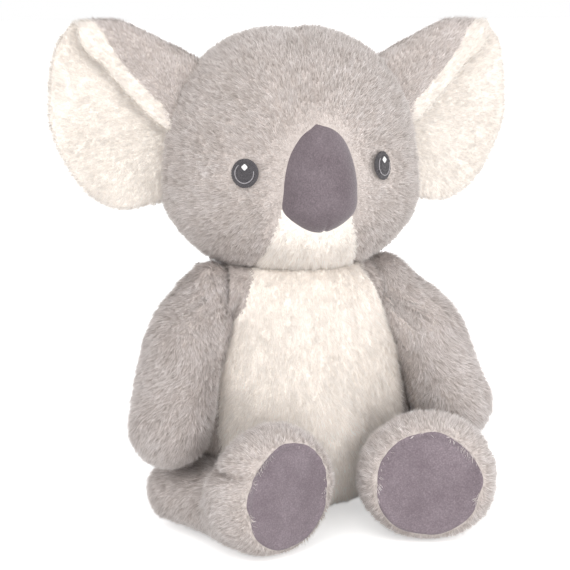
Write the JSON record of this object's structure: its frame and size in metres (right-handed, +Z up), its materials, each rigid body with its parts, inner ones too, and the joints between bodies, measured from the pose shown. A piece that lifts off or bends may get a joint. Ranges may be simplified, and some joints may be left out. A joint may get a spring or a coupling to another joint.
{
  "type": "plush koala",
  "caption": "Sitting stuffed koala of sewn pile cloth, with a turning head, folding ears, lifting arms and legs that splay on the floor.",
  "frame": {"origin": "middle of the flat under its seat, on the surface that it sits on", "axes": "+Z up; it faces -Y; +X towards its own left"},
  "size_m": [0.2505, 0.1568, 0.251],
  "materials": {
    "grey_pile": "frosted grey pile about 8 mm long, paler at its tips",
    "white_pile": "cream pile about 6 mm long",
    "suede": "short-napped mauve grey suede cloth",
    "eye_thread": "satin-stitched embroidery thread",
    "stuffing": "lofty polyester fibre",
    "pouch_cloth": "plain woven pouch of pellets"
  },
  "bodies": {
    "torso": {"torso_filling": "stuffing", "bean_pouch": "pouch_cloth", "seat_panel": "grey_pile", "belly_panel": "white_pile", "back_panel_left": "grey_pile", "back_panel_right": "grey_pile"},
    "head": {"head_filling": "stuffing", "head_back_panel": "grey_pile", "face_panel_left": "grey_pile", "face_panel_right": "grey_pile", "chin_panel": "white_pile", "nose_cover": "suede", "nose_filling": "stuffing", "eye_left": "eye_thread", "eye_right": "eye_thread"},
    "ear_left": {"ear_front_left": "white_pile", "ear_back_left": "grey_pile", "ear_wadding_left": "stuffing"},
    "ear_right": {"ear_front_right": "white_pile", "ear_back_right": "grey_pile", "ear_wadding_right": "stuffing"},
    "arm_left": {"arm_outer_panel_left": "grey_pile", "arm_inner_panel_left": "grey_pile", "arm_filling_left": "stuffing"},
    "arm_right": {"arm_outer_panel_right": "grey_pile", "arm_inner_panel_right": "grey_pile", "arm_filling_right": "stuffing"},
    "leg_left": {"leg_outer_panel_left": "grey_pile", "leg_inner_panel_left": "grey_pile", "foot_outer_panel_left": "grey_pile", "foot_inner_panel_left": "grey_pile", "leg_filling_left": "stuffing", "sole_left": "suede"},
    "leg_right": {"leg_outer_panel_right": "grey_pile", "leg_inner_panel_right": "grey_pile", "foot_outer_panel_right": "grey_pile", "foot_inner_panel_right": "grey_pile", "leg_filling_right": "stuffing", "sole_right": "suede"}
  },
  "joints": [
    {"name": "head_turn", "type": "hinge", "parent": "torso", "child": "head", "pos_m": [0, 0.004, 0.1235], "axis": [0, 0, 1], "range_deg": [-25.5, 34.5], "stiffness_Nm_per_rad": 0.12},
    {"name": "ear_fold_left", "type": "hinge", "parent": "head", "child": "ear_left", "pos_m": [0.05585, 0.01264, 0.201], "axis": [0, 0, 1], "range_deg": [-12, 12], "stiffness_Nm_per_rad": 0.01},
    {"name": "ear_fold_right", "type": "hinge", "parent": "head", "child": "ear_right", "pos_m": [-0.05381, 0.02127, 0.201], "axis": [0, 0, -1], "range_deg": [-12, 12], "stiffness_Nm_per_rad": 0.01},
    {"name": "arm_lift_left", "type": "hinge", "parent": "torso", "child": "arm_left", "pos_m": [0.048, -0.006, 0.112], "axis": [-0.7431, -0.6691, 0], "range_deg": [0, 65], "stiffness_Nm_per_rad": 0.03},
    {"name": "arm_lift_right", "type": "hinge", "parent": "torso", "child": "arm_right", "pos_m": [-0.048, -0.006, 0.112], "axis": [-0.7431, 0.6691, 0], "range_deg": [0, 65], "stiffness_Nm_per_rad": 0.03},
    {"name": "leg_splay_left", "type": "hinge", "parent": "torso", "child": "leg_left", "pos_m": [0.062, -0.022, 0.0175], "axis": [0, 0, 1], "range_deg": [0, 30], "stiffness_Nm_per_rad": 0.04},
    {"name": "leg_splay_right", "type": "hinge", "parent": "torso", "child": "leg_right", "pos_m": [-0.062, -0.022, 0.0175], "axis": [0, 0, -1], "range_deg": [0, 30], "stiffness_Nm_per_rad": 0.04}
  ]
}
